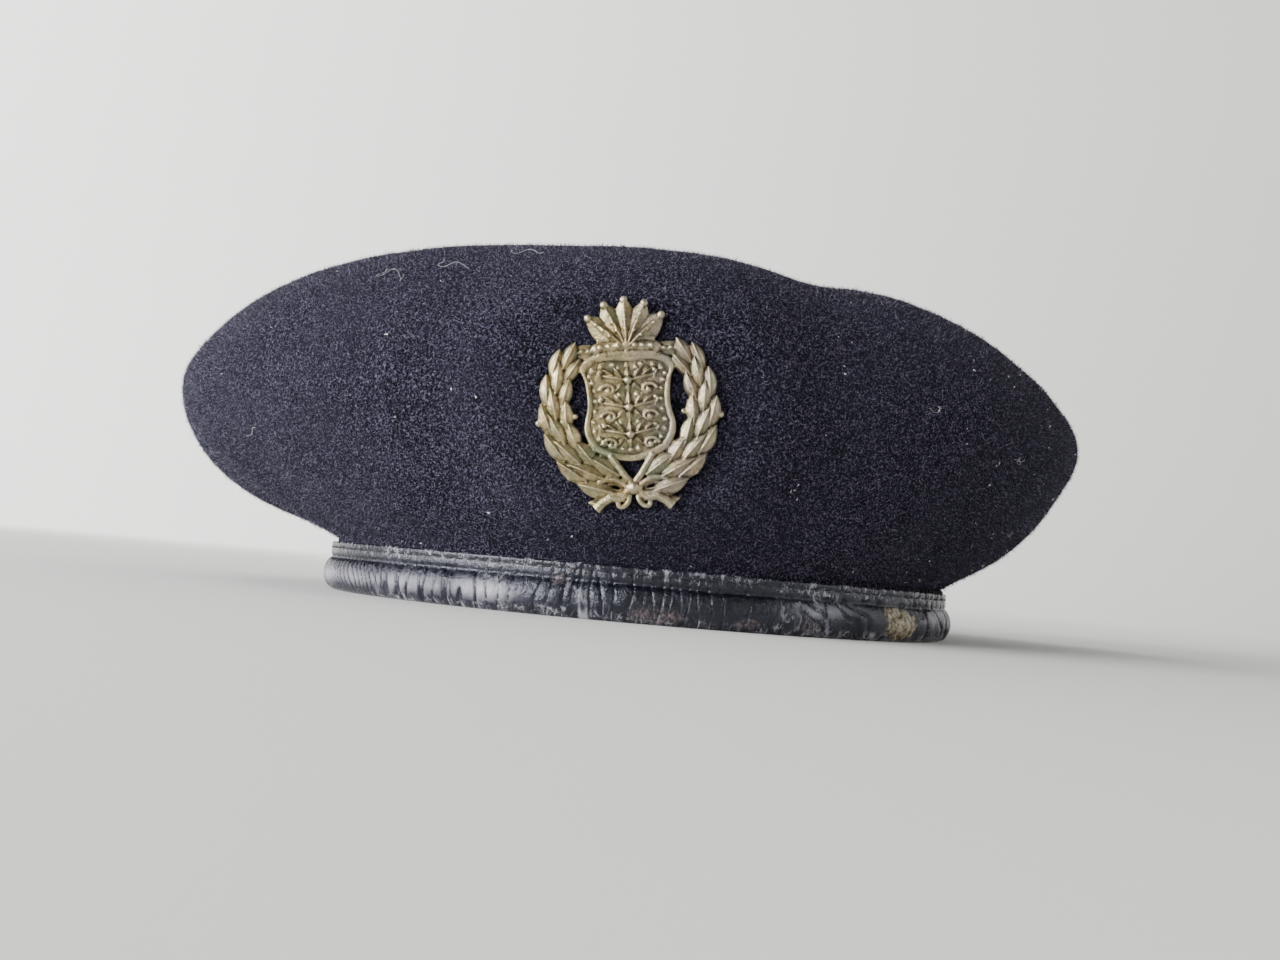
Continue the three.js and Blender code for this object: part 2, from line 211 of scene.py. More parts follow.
def beside_rim(angle, out, up):
    sin, cos = np.sin(angle), np.cos(angle)
    normal = unit(np.stack([RIM_HALF_LENGTH * sin, -RIM_HALF_WIDTH * cos], -1))
    x = RIM_HALF_WIDTH * sin + out * normal[..., 0]
    y = -RIM_HALF_LENGTH * cos + out * normal[..., 1]
    return np.stack([x, y, np.broadcast_to(up, x.shape)], -1)


def height_at(row, angle):
    forward = np.cos(angle)
    lean = (row["front"] - row["rear"]) / 2
    bow = (row["front"] + row["rear"]) / 2 - row["side"]
    return CROWN_HEIGHT * (row["side"] + lean * forward + bow * forward * forward)


def crown_rail(angle, span, height):
    x = CROWN_ASIDE + span * CROWN_WIDTH / 2 * np.sin(angle)
    y = CROWN_SET_BACK - span * CROWN_LENGTH / 2 * np.cos(angle)
    return np.stack([x, y, height], -1)


def crown_rails(angle):
    hem = beside_rim(angle, FELT / 2, HEM_HEIGHT)
    belly = crown_rail(angle, 1, height_at(BELLY, angle))
    rails = []
    for row in FLANK:
        point = hem + row["out"] * (belly - hem)
        point[..., 2] = hem[..., 2] + row["up"] * (belly[..., 2] - hem[..., 2])
        rails.append(point)
    return rails + [crown_rail(angle, row["span"], height_at(row, angle)) for row in TOP]


# The centripetal curve through the rails, at one share of the way along it
def profile(angle, share):
    rails = crown_rails(angle)
    last = len(rails) - 1
    place = min(max(share, 0), 1) * last
    i = min(int(place), last - 1)
    t = place - i
    p1, p2 = rails[i], rails[i + 1]
    p0 = rails[i - 1] if i > 0 else 2 * p1 - p2
    p3 = rails[i + 2] if i + 2 <= last else 2 * p2 - p1
    pairs = ((p0, p1), (p1, p2), (p2, p3))
    d0, d1, d2 = [np.sqrt(np.linalg.norm(b - a, axis=-1, keepdims=True)) for a, b in pairs]
    t1 = d1 * ((p1 - p0) / d0 - (p2 - p0) / (d0 + d1) + (p2 - p1) / d1)
    t2 = d1 * ((p2 - p1) / d1 - (p3 - p1) / (d1 + d2) + (p3 - p2) / d2)
    c2 = 3 * (p2 - p1) - 2 * t1 - t2
    c3 = 2 * (p1 - p2) + t1 + t2
    return p1 + t * (t1 + t * (c2 + t * c3))


def outward_at(angle, share):
    step = 1e-3
    along = profile(angle, share + step) - profile(angle, share - step)
    across = profile(angle + step, share) - profile(angle - step, share)
    return unit(np.cross(across, along))


def fold_depth(angle, height):
    depth = 0
    for fold in FOLDS:
        around = signed(angle - math.radians(fold["angle"])) / math.radians(fold["reach"])
        tall = (height / CROWN_HEIGHT - fold["height"]) / fold["tall"]
        depth = depth + fold["depth"] * CROWN_HEIGHT * np.exp(-around * around - tall * tall)
    return depth


def loose_felt(angle, share):
    point = profile(angle, share)
    fade = smoothstep(share, 0, 0.2) * (1 - smoothstep(share, 0.8, 0.95))
    if fade == 0:
        return point
    return point + outward_at(angle, share) * (fade * fold_depth(angle, point[..., 2]))[..., None]


def felt_at_height(angle, height):
    low, high = 0, (len(FLANK) + 1) / (len(FLANK) + len(TOP) - 1)
    while high - low > 1e-6:
        share = (low + high) / 2
        if loose_felt(angle, share)[0, 2] < height:
            low = share
        else:
            high = share
    return loose_felt(angle, low)[0]


# The badge's place: its middle, with X to the right, Y up and Z out of the hat
def badge_seat():
    angle = math.atan2(BADGE_ASIDE, RIM_HALF_LENGTH)
    foot = BINDING_HEIGHT + BADGE_RISE
    low, level, high = [felt_at_height(np.array([angle]), foot + s * BADGE_HEIGHT) for s in (0, 0.5, 1)]
    right = np.array([math.cos(angle), math.sin(angle), 0])
    up = high - low
    up = unit(up - right * np.dot(up, right))
    outward = np.cross(right, up)
    seat = np.eye(4)
    seat[:3, :3] = np.stack([right, up, outward], 1)
    seat[:3, 3] = level - SEAT_DEPTH * outward
    return seat @ np.array(Matrix.Rotation(BADGE_TURN, 4, "Z"))


SEAT = badge_seat()
INTO_SEAT = np.linalg.inv(SEAT)


def moved(points, matrix):
    return points @ matrix[:3, :3].T + matrix[:3, 3]


def felt_point(angle, share):
    point = loose_felt(angle, share)
    free = smoothstep(point[..., 2], HEM_HEIGHT, BINDING_HEIGHT + BADGE_RISE)
    local = moved(point, INTO_SEAT)
    half_width = BADGE_WIDTH / 2 + SEAT_MARGIN
    half_height = BADGE_HEIGHT / 2 + SEAT_MARGIN
    away = np.hypot(local[..., 0] / half_width, local[..., 1] / half_height)
    near = np.where(local[..., 2] > -BADGE_HEIGHT, 1 - smoothstep(away, 1, 1 + SEAT_BLEND / half_width), 0)
    local[..., 2] += near * free * np.clip(-local[..., 2], -SEAT_PULL, SEAT_PULL)
    return moved(local, SEAT), near


# Materials


class Nodes:
    """A material's nodes, made in the order that they are read."""

    def __init__(self, name):
        self.material = bpy.data.materials.new(name)
        self.material.use_nodes = True
        self.tree = self.material.node_tree
        self.shader = self.tree.nodes["Principled BSDF"]

    def set(self, **values):
        for name, value in values.items():
            self.shader.inputs[name.replace("_", " ")].default_value = value
        return self

    def add(self, kind, inputs=(), **settings):
        node = self.tree.nodes.new("ShaderNode" + kind)
        for key, value in settings.items():
            setattr(node, key, value)
        for key, value in dict(inputs).items():
            self.feed(node.inputs[key], value)
        return node

    def feed(self, socket, value):
        if isinstance(value, bpy.types.NodeSocket):
            self.tree.links.new(value, socket)
        else:
            socket.default_value = value

    def place(self):
        return self.add("TexCoord").outputs["Object"]

    # Noise with cells of a size in millimetres
    def noise(self, size, detail=2, roughness=0.5):
        inputs = {"Vector": self.place(), "Scale": 1 / (size * MM)}
        inputs.update({"Detail": detail, "Roughness": roughness})
        return self.add("TexNoise", inputs).outputs["Fac"]

    def ramp(self, value, stops):
        node = self.add("ValToRGB", {"Fac": value})
        ramp = node.color_ramp
        while len(ramp.elements) < len(stops):
            ramp.elements.new(0.5)
        for element, (position, colour) in zip(ramp.elements, stops):
            element.position = position
            element.color = (*colour, 1) if isinstance(colour, tuple) else (colour, colour, colour, 1)
        return node.outputs["Color"]

    def mix(self, factor, a, b, blend="MIX"):
        node = self.add("Mix", data_type="RGBA", blend_type=blend)
        sockets = {s.identifier: s for s in node.inputs}
        for key, value in (("Factor_Float", factor), ("A_Color", a), ("B_Color", b)):
            self.feed(sockets[key], (*value, 1) if isinstance(value, tuple) else value)
        return {s.identifier: s for s in node.outputs}["Result_Color"]

    def math(self, operation, a, b):
        node = self.add("Math", operation=operation)
        self.feed(node.inputs[0], a)
        self.feed(node.inputs[1], b)
        return node.outputs[0]

    # The same places, pushed about so that cells on them have uneven edges
    def warped(self, vector, size):
        cells = {"Vector": vector, "Scale": 0.7 / (size * MM), "Detail": 2}
        push = self.add("TexNoise", cells).outputs["Color"]
        centred = self.vector_math("SUBTRACT", {0: push, 1: (0.5, 0.5, 0.5)})
        scaled = self.vector_math("SCALE", {0: centred, "Scale": 1.6 * size * MM})
        return self.vector_math("ADD", {0: vector, 1: scaled})

    def vector_math(self, operation, inputs):
        return self.add("VectorMath", inputs, operation=operation).outputs[0]

    def attribute(self, name):
        return self.add("Attribute", attribute_name=name).outputs["Fac"]

    def bump(self, height, depth, strength=1.0, under=None):
        inputs = {"Height": height, "Distance": depth * MM, "Strength": strength}
        if under:
            inputs["Normal"] = under
        return self.add("Bump", inputs).outputs["Normal"]

    def finish(self, colour=None, roughness=None, normal=None):
        for name, value in (("Base Color", colour), ("Roughness", roughness), ("Normal", normal)):
            if value is not None:
                self.tree.links.new(value, self.shader.inputs[name])
        return self.material


def felt_material():
    n = Nodes("felt")
    n.set(Sheen_Weight=0.05, Sheen_Roughness=0.4, Sheen_Tint=(0.6, 0.58, 0.8, 1), Specular_IOR_Level=0.06)
    fibres = n.noise(0.5, detail=3, roughness=0.7)
    clumps = n.noise(1.3, detail=2)
    patches = n.noise(30, detail=2)
    tone = n.ramp(fibres, FELT_TONES)
    tone = n.mix(n.ramp(clumps, [(0.45, 0.0), (0.66, 0.6)]), tone, (0.0060, 0.0056, 0.0100))
    tone = n.mix(n.ramp(patches, [(0.42, 0.0), (0.66, 0.35)]), tone, (0.024, 0.023, 0.037))
    rough = n.bump(fibres, 0.7, 1.0)
    rough = n.bump(clumps, 0.9, 0.6, rough)
    return n.set(Roughness=0.95).finish(tone, None, rough)


def nap_material(name, low, high):
    n = Nodes(name)
    n.set(Roughness=0.8, Specular_IOR_Level=0.12)
    tone = n.ramp(n.noise(1.3, detail=2), [(0.35, low), (0.68, high)])
    return n.finish(tone)


# Dark glazed leather with pale worn ridges, pale veins of crackle, bare patches, and painted highlights on
# the roll that come in with the crests
def leather_material():
    n = Nodes("leather")
    n.set(Specular_IOR_Level=0.6, Specular_Tint=(0.86, 0.88, 1, 1))
    grain = n.noise(0.45, detail=4, roughness=0.7)
    scuffs = n.noise(2.6, detail=4, roughness=0.65)
    wear = n.attribute("wear")
    crest = n.attribute("crest")
    stretch = n.add("Mapping", {"Vector": n.place(), "Scale": (1.0, 1.0, 0.38)}).outputs["Vector"]
    veins = []
    for size, vector in ((1.5, stretch), (0.7, n.place())):
        inputs = {"Vector": n.warped(vector, size), "Scale": 1 / (size * MM)}
        edge = n.add("TexVoronoi", inputs, feature="DISTANCE_TO_EDGE").outputs["Distance"]
        veins.append(n.ramp(edge, [(0.0, 1.0), (0.10, 0.25), (0.24, 0.0)]))
    net = n.math("MAXIMUM", veins[0], n.math("MULTIPLY", veins[1], 0.6))
    net = n.math("MULTIPLY", net, n.ramp(scuffs, [(0.40, 0.0), (0.62, 1.0)]))
    # The crest attribute brings painted highlights as well as worn ridges
    pale = n.math("MAXIMUM", n.math("MULTIPLY", wear, net), crest)
    dust = n.math("MULTIPLY", wear, n.ramp(scuffs, [(0.46, 0.0), (0.76, 0.3)]))
    pale = n.math("ADD", pale, dust)
    tone = n.ramp(pale, LEATHER_TONES)
    brown = n.ramp(grain, [(0.35, (0.050, 0.034, 0.036)), (0.65, (0.21, 0.160, 0.158))])
    crumbs = n.ramp(n.noise(0.9, detail=4, roughness=0.7), [(0.42, 0.0), (0.60, 0.8)])
    tone = n.mix(n.math("MULTIPLY", n.attribute("rub"), crumbs), tone, brown)
    tone = n.mix(n.attribute("peel"), tone, n.ramp(n.noise(1.1, detail=3), HIDE_TONES))
    gloss = n.ramp(pale, [(0.0, 0.22), (0.8, 0.36)])
    surface = n.bump(grain, 0.12, 0.7)
    surface = n.bump(net, 0.14, 0.6, surface)
    surface = n.bump(n.noise(1.4, detail=3, roughness=0.6), 0.4, 0.7, surface)
    return n.finish(tone, gloss, surface)


def thread_material():
    n = Nodes("thread")
    n.set(Roughness=0.7)
    tone = n.ramp(n.noise(0.5), [(0.4, (0.008, 0.008, 0.010)), (0.65, (0.035, 0.034, 0.038))])
    return n.finish(tone, None, n.bump(n.noise(0.15), 0.05))


def metal_material(name, light, dark, roughness):
    n = Nodes(name)
    n.set(Metallic=1.0)
    stain = n.noise(2.0, detail=4, roughness=0.7)
    fine = n.noise(0.33, detail=3, roughness=0.65)
    tone = n.ramp(stain, [(0.34, dark), (0.50, light), (0.68, tuple(1.2 * c for c in light))])
    rust = n.ramp(n.noise(3.7, detail=3, roughness=0.6), [(0.52, 0.0), (0.66, 0.65)])
    tone = n.mix(rust, tone, METAL_TONES["rust"])
    cloudy = n.ramp(n.noise(3.0, detail=2), [(0.35, 0.3), (0.6, 0.85)])
    tone = n.mix(n.math("MULTIPLY", n.attribute("silver"), cloudy), tone, METAL_TONES["silver"])
    green = n.ramp(n.noise(4.5, detail=3), [(0.50, 0.0), (0.60, 0.5)])
    green = n.math("MAXIMUM", green, n.math("MULTIPLY", n.attribute("green"), 0.9))
    tone = n.mix(green, tone, METAL_TONES["green"])
    tone = n.mix(n.math("MULTIPLY", n.attribute("polish"), 0.7), tone, METAL_TONES["polish"])
    grime = n.math("MULTIPLY", n.attribute("grime"), n.ramp(fine, [(0.25, 0.75), (0.6, 1.0)]))
    tone = n.mix(grime, tone, METAL_TONES["grime"])
    speckle = n.ramp(n.noise(0.22, detail=3, roughness=0.7), [(0.35, 0.45), (0.6, 1.0)])
    tone = n.mix(0.8, tone, speckle, "MULTIPLY")
    gloss = n.ramp(stain, [(0.3, roughness + 0.14), (0.7, roughness - 0.08)])
    uneven = n.bump(n.noise(0.8, detail=2), 0.16, 0.8)
    return n.finish(tone, gloss, n.bump(fine, 0.11, 0.8, uneven))


def lint_material(name, low, high):
    n = Nodes(name)
    n.set(Roughness=0.8)
    return n.finish(n.ramp(n.noise(3), [(0.4, low), (0.65, high)]))


# Tones of the felt between its fibres, of the leather from glazed to worn and to painted highlight, and of
# the hide under it
FELT_TONES = [
    (0.40, (0.0010, 0.0009, 0.0026)),
    (0.50, (0.0145, 0.0132, 0.0250)),
    (0.58, (0.0730, 0.0680, 0.1080)),
    (0.70, (0.2200, 0.2060, 0.2900)),
]
LEATHER_TONES = [
    (0.0, (0.0022, 0.0024, 0.0062)),
    (0.30, (0.022, 0.022, 0.035)),
    (0.85, (0.36, 0.355, 0.390)),
]
HIDE_TONES = [
    (0.38, (0.045, 0.035, 0.018)),
    (0.50, (0.24, 0.19, 0.10)),
    (0.62, (0.46, 0.41, 0.26)),
]
# Tones of what has changed the badge's metal, and of its rubbed crests
METAL_TONES = {
    "rust": (0.25, 0.155, 0.060),
    "silver": (0.37, 0.315, 0.28),
    "green": (0.225, 0.265, 0.155),
    "polish": (0.66, 0.58, 0.41),
    "grime": (0.020, 0.017, 0.013),
}
FELT_LOOK = felt_material()
NAP_DARK = nap_material("nap_dark", (0.0015, 0.0015, 0.0045), (0.022, 0.021, 0.036))
# Pale fibres: partly paler fibres, partly painted glints of fibres that catch the light
NAP_PALE_AND_GLINT = nap_material("nap_pale_and_glint", (0.095, 0.086, 0.132), (0.34, 0.315, 0.415))
LEATHER_LOOK = leather_material()
THREAD_LOOK = thread_material()
BADGE_LOOK = metal_material("badge_metal", (0.56, 0.458, 0.252), (0.22, 0.168, 0.083), 0.37)
NUT_LOOK = metal_material("nut_metal", (0.44, 0.39, 0.26), (0.26, 0.22, 0.14), 0.40)
LINT_LOOK = lint_material("lint", (0.55, 0.54, 0.56), (0.93, 0.92, 0.93))
THREAD_PALE = lint_material("pale_thread", (0.30, 0.29, 0.33), (0.55, 0.54, 0.58))


# Felt crown

CROWN_ROUND = 300
CROWN_FINENESS = 0.3
CROWN_SHARES = np.linspace(0, 1, 121)[:-1]
# Unevenness of the felt: cell size and depth, in millimetres
UNEVEN = table(
    "size depth",
    (46, 1.1),
    (17, 0.45),
    (6, 0.16),
)

# Soft folds that run up from the binding and fade out between two heights
SOFT_FOLDS = {"size": 15, "depth": 2.2, "from": 26, "to": 58, "radius": 70}
# How far above the binding the felt is smooth, and how smooth it is behind the badge
SMOOTH_HEM = 10
SMOOTH_SEAT = 0.9


# Angles round the hat, closer together at the front
def round_angles(steps, fineness):
    turn = np.arange(steps) / steps * 2 * math.pi
    return turn - fineness * np.sin(turn)


def felt_grid():
    angles = round_angles(CROWN_ROUND, CROWN_FINENESS)
    rows = [beside_rim(angles, FELT / 2, ROLL_HEIGHT / 2 + PLAY)]
    ring = SOFT_FOLDS["radius"]
    for share in CROWN_SHARES:
        point, near = felt_point(angles, share)
        fade = smoothstep(point[:, 2], HEM_HEIGHT, HEM_HEIGHT + SMOOTH_HEM) * (1 - SMOOTH_SEAT * near)
        bumps = sum(row["depth"] * noise_at(point, row["size"], k) for k, row in enumerate(UNEVEN))
        around = np.stack([ring * np.sin(angles), ring * np.cos(angles), 0.2 * point[:, 2]], 1)
        low = 1 - smoothstep(point[:, 2], SOFT_FOLDS["from"], SOFT_FOLDS["to"])
        bumps = bumps + SOFT_FOLDS["depth"] * noise_at(around, SOFT_FOLDS["size"], 7) * low
        rows.append(point + outward_at(angles, min(share, 0.995)) * (fade * bumps)[:, None])
    return np.array(rows)


def grid_normals(grid):
    around = np.roll(grid, -1, axis=1) - np.roll(grid, 1, axis=1)
    along = np.gradient(grid, axis=0)
    return unit(np.cross(around, along))


def make_crown(grid, normals):
    rows, steps = grid.shape[:2]
    middle = grid[-1].mean(0)
    inside = grid - FELT * normals
    inside[0] = beside_rim(round_angles(steps, CROWN_FINENESS), -FELT / 2, ROLL_HEIGHT / 2 + PLAY)
    points = np.concatenate([grid.reshape(-1, 3), [middle], inside.reshape(-1, 3), [middle - [0, 0, FELT]]])
    back = rows * steps + 1
    top = (rows - 1) * steps
    faces = grid_faces(rows, steps)
    faces += [(top + i, top + (i + 1) % steps, back - 1) for i in range(steps)]
    faces += [tuple(v + back for v in reversed(f)) for f in faces]
    faces += [((i + 1) % steps, i, back + i, back + (i + 1) % steps) for i in range(steps)]
    crown = mesh_piece("felt_crown", points, faces, [FELT_LOOK])
    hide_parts("crown")


NAP_PIECES = 4
NAP_FIBRES = 36000  # in each piece
NAP_LENGTH = (0.45, 1.3)
NAP_RADIUS = (0.035, 0.075)
NAP_STAND = (0.12, 0.75)
# Share of pale fibres, partly paler fibres and partly painted glints
NAP_PALE_AND_GLINT_SHARE = 0.40
NAP_LONG_SHARE = 0.04
NAP_LONG_TIMES = 1.9
NAP_SUNK = 0.12
# Share of the badge's size under which no fibre stands, and how far behind it that holds
BADGE_COVERS = 0.42
BADGE_COVERS_BEHIND = 9


# Points spread over a grid by area, with more at the front, and the felt's outward direction
def spread(grid, normals, count, lean):
    steps = grid.shape[1]
    beside = np.roll(grid, -1, axis=1)
    area = np.linalg.norm(np.cross(beside[:-1] - grid[:-1], grid[1:] - grid[:-1]), axis=-1)
    area[0] = 0
    weight = area * (1 + lean * np.clip(-normals[:-1, :, 1] + 0.1, 0, 1))
    chance = weight.ravel() / weight.sum()
    cells = random.choice(len(chance), count, p=chance)
    r, i = np.divmod(cells, steps)
    u, v = random.random((2, count, 1))
    j = (i + 1) % steps

    def blend(values):
        low = values[r, i] * (1 - u) + values[r, j] * u
        high = values[r + 1, i] * (1 - u) + values[r + 1, j] * u
        return low * (1 - v) + high * v

    return blend(grid), unit(blend(normals))


# Thin closed spikes, each with three sides and a base
def spikes(starts, ends, radius):
    along = unit(ends - starts)
    side = unit(np.cross(along, random.normal(size=along.shape)))
    other = np.cross(along, side)
    corners = []
    for turn in full_turn(3):
        corners.append(starts + radius[:, None] * (math.cos(turn) * side + math.sin(turn) * other))
    points = np.stack([*corners, ends], 1).reshape(-1, 3)
    base = 4 * np.arange(len(starts))[:, None]
    faces = np.concatenate([base + f for f in ([0, 2, 1], [0, 1, 3], [1, 2, 3], [2, 0, 3])], 1)
    return points, faces.reshape(-1, 3)


def make_nap(grid, normals):
    for piece in range(NAP_PIECES):
        roots, up = spread(grid, normals, NAP_FIBRES, 2.5)
        away = moved(roots, INTO_SEAT)
        across, along = BADGE_COVERS * BADGE_WIDTH, BADGE_COVERS * BADGE_HEIGHT
        covered = np.hypot(away[:, 0] / across, away[:, 1] / along) < 1
        covered &= away[:, 2] > -BADGE_COVERS_BEHIND
        roots, up = roots[~covered], up[~covered]
        count = len(roots)
        lay = unit(np.cross(up, random.normal(size=up.shape)))
        stand = random.uniform(*NAP_STAND, (count, 1))
        length = random.uniform(*NAP_LENGTH, (count, 1))
        length = length * np.where(random.random((count, 1)) < NAP_LONG_SHARE, NAP_LONG_TIMES, 1)
        tips = roots + length * unit(stand * up + (1 - stand) * lay)
        points, faces = spikes(roots - NAP_SUNK * up, tips, random.uniform(*NAP_RADIUS, count))
        light = np.repeat(random.random(count) < NAP_PALE_AND_GLINT_SHARE, 4).astype(int)
        mesh_piece(f"felt_nap_{piece + 1}", points, faces, [NAP_DARK, NAP_PALE_AND_GLINT], False, light)


# Leather binding

BINDING_ROUND = 1100
BINDING_FINENESS = 0.45


def roll_arc(bulge, steps):
    wide = LEATHER_FACE + bulge
    high = ROLL_HEIGHT / 2 + ROLL_PRESS
    turn = np.linspace(-math.asin(ROLL_HEIGHT / 2 / high), math.acos(LEATHER_FACE / wide), steps)
    return np.stack([wide * np.cos(turn), ROLL_HEIGHT / 2 + high * np.sin(turn)], 1)


# Points on a straight line, without its start
def line(start, end, steps):
    share = np.linspace(0, 1, steps + 1)[1:, None]
    return np.array(start) * (1 - share) + np.array(end) * share


# The binding's section: out from the felt's middle line and up, and how freely each point
# may be creased
def binding_section():
    edge = 0.45
    outer = roll_arc(ROLL_BULGE, 26)
    inner = roll_arc(ROLL_INNER_BULGE, 14) * [-1, 1]
    strip = line(outer[-1], (LEATHER_FACE, BINDING_HEIGHT - edge), 10)
    crest = [(LEATHER_FACE - 0.12, BINDING_HEIGHT - 0.15), (LEATHER_FACE - edge, BINDING_HEIGHT)]
    slot = [
        (SLOT_HALF, BINDING_HEIGHT),
        (SLOT_HALF, ROLL_HEIGHT / 2),
        (-SLOT_HALF, ROLL_HEIGHT / 2),
        (-SLOT_HALF, SWEATBAND_HEIGHT),
    ]
    lip = [(-LEATHER_FACE + edge, SWEATBAND_HEIGHT), (-LEATHER_FACE, SWEATBAND_HEIGHT - edge)]
    band = line(lip[-1], inner[-1], 5)
    points = np.concatenate([outer, strip, crest, slot, lip, band, inner[::-1][1:]])
    freely = np.ones(len(outer) + len(strip) + 1)
    half_freely = np.full(len(band) + len(inner) - 1, 0.5)
    free = np.concatenate([freely, np.zeros(7), half_freely])
    return points, free * smoothstep(points[:, 1], 0.05, 1.0)


def section_normals(points):
    along = np.roll(points, -1, axis=0) - np.roll(points, 1, axis=0)
    return unit(np.stack([along[:, 1], -along[:, 0]], 1))


# From 0 to 1 and back, with a soft step at each end
def window(angle, low, high, soft):
    return smoothstep(angle, low - soft, low + soft) * (1 - smoothstep(angle, high - soft, high + soft))


# Noise over the leather, in its own layer for each kind of crease
def skin_noise(around, up, layer, seed=0):
    return noise_at(np.stack([around, up, 0 * around + layer], -1), 1, seed)


# Valleys along the lines where a noise over the leather changes sign
def valleys(around, up, layer, width):
    value = skin_noise(around, up, layer)
    return bell(value, 0, width), value


# Stretches of the binding in degrees from the front: gathered at the left, cracked across the
# centre and wrinkled at the right
STRETCHES = {"left": (-104, -46), "centre": (-46, 24), "right": (24, 84)}
STRETCH_BLEND = 9


# Creases of the leather: how far it stands out or in, its pale crests, which hold worn ridges and painted
# highlights, and its wear
def creases(angle, up):
    arc = angle * (RIM_HALF_WIDTH + RIM_HALF_LENGTH) / 2
    degrees = np.degrees(angle)
    left, centre, right = [window(degrees, *ends, STRETCH_BLEND) for ends in STRETCHES.values()]
    back = np.clip(1 - left - right - centre, 0, 1)
    sway = skin_noise(arc / 9, up / 7, 0, 3)
    gather = np.abs(np.sin(math.pi * ((arc + 0.55 * up) / 2.3 + 0.9 * sway)))
    cracks, swell = valleys((arc + 1.3 * sway) / 3.1, up / 24, 5, 0.055)
    wrinkles, fold = valleys((arc + 0.5 * up) / 5.2, up / 8 + sway, 9, 0.07)
    fine, tiny = valleys(arc / 1.15, up / 4.5, 2, 0.09)
    depth = left * (0.34 * (gather - 0.75))
    depth += (centre + 0.7 * back) * (0.30 * np.abs(swell) - 0.42 * cracks)
    depth += right * (0.75 * np.abs(fold) - 0.55 * wrinkles) - 0.09 * fine
    # Painted highlight: satin shine where the light falls along the roll, broken by the gathers, cracks and
    # wrinkles, and painted shine between the wrinkles at the right
    painted_shine = window(degrees, -46, -18, 7) * smoothstep(np.abs(swell), 0.02, 0.12)
    painted_shine = 0.66 * (left * smoothstep(gather, 0.08, 0.42) + painted_shine) * bell(up, 4.1, 2.6)
    painted_highlight_right = 0.5 * right * smoothstep(np.abs(fold), 0.05, 0.22) * bell(up, 6, 2.2)
    lines = centre * bell(swell, 0.1, 0.035) + 0.6 * right * bell(fold, 0.12, 0.05)
    lines += 0.5 * (centre + right) * bell(tiny, 0.14, 0.05)
    edges = np.maximum(smoothstep(up, 9.3, 10.2), 1 - smoothstep(up, 1.2, 3.0))
    patchy = 0.55 + 0.9 * skin_noise(arc / 14, up / 9, 3, 5)
    dark = window(degrees, -2, 30, 6)
    wear = (0.3 + 0.1 * left + 0.4 * centre * (1 - 0.25 * dark) + 0.5 * right) * patchy
    wear = np.clip(wear + (0.46 - 0.26 * back) * edges, 0.06, 1)
    painted_highlight = np.maximum(painted_shine * (0.75 + 0.5 * patchy), painted_highlight_right * patchy * 1.6)
    return depth, np.clip(np.maximum(wear * lines, painted_highlight), 0, 1), wear


# Worn spots along the binding: angle and reach in degrees, up and tall in millimetres
WORN_SPOTS = table(
    "kind angle reach up tall",
    ("rub", 2, 4.0, 2.2, 1.8),
    ("rub", 16, 2.0, 1.8, 1.2),
    ("rub", 27, 1.6, 2.0, 1.6),
    ("rub", -13, 1.2, 8.6, 1.2),
    ("peel", 47.5, 4.2, 4.2, 3.6),
    ("peel", 44, 1.6, 6.6, 1.6),
)


# Above 0 on the spots of one kind
def worn(kind, angle, up):
    total = np.full(np.broadcast(angle, up).shape, -3.0)
    for spot in WORN_SPOTS:
        if spot["kind"] == kind:
            across = (np.degrees(angle) - spot["angle"]) / spot["reach"]
            tall = (up - spot["up"]) / spot["tall"]
            total = np.maximum(total, 1.35 - across * across - tall * tall)
    return total


# Grooves along the binding, below the strip and along its sewn line
GROOVES = table(
    "up reach depth",
    (8.7, 0.45, 0.32),
    (11.0, 0.28, 0.22),
)


def make_binding():
    section, free = binding_section()
    angles = round_angles(BINDING_ROUND, BINDING_FINENESS)
    angle, up = np.meshgrid(signed(angles), section[:, 1])
    depth, crest, wear = creases(angle, up)
    outside = (section[:, 0] > 0)[:, None]
    seam = -sum(row["depth"] * bell(up, row["up"], row["reach"]) for row in GROOVES)
    calm = np.where(up > 9.2, 0.45, 1)
    edges = noise_at(np.stack([angle * 88, up, section[:, :1] + 0 * up], -1), 2.2, 6)
    peel = np.clip(2.2 * (worn("peel", angle, up) + 0.55 * edges), 0, 1) * outside
    rub = np.clip(1.6 * (worn("rub", angle, up) + 0.7 * edges), 0, 1) * outside
    shift = free[:, None] * (depth * calm + np.where(outside, seam, 0) - 0.22 * peel + 0.3 * peel * edges)
    normals = section_normals(section)
    out = section[:, :1] + shift * normals[:, :1]
    high = np.maximum(section[:, 1:] + shift * normals[:, 1:], 0)
    points = beside_rim(angle, out, high)
    faces = grid_faces(len(section), BINDING_ROUND, closed=True)
    binding = mesh_piece("leather_cover", points.reshape(-1, 3), faces, [LEATHER_LOOK])
    # crest holds the worn ridges together with the painted highlights
    point_attributes(binding, wear=wear * np.where(outside, 1, 0.4), crest=crest * calm, peel=peel, rub=rub)
    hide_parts("leather_binding")


STITCH_PITCH = 3.3
STITCH = {"long": 2.5, "thick": 0.42, "up": 11.0, "arch": 0.16}
# Whip stitches over the strip's top edge, at the right
WHIP = {"from": 31, "to": 70, "pitch": 1.9, "thick": 0.48, "arch": 0.55}
SPINDLE_RINGS = 7
SPINDLE_SIDES = 6


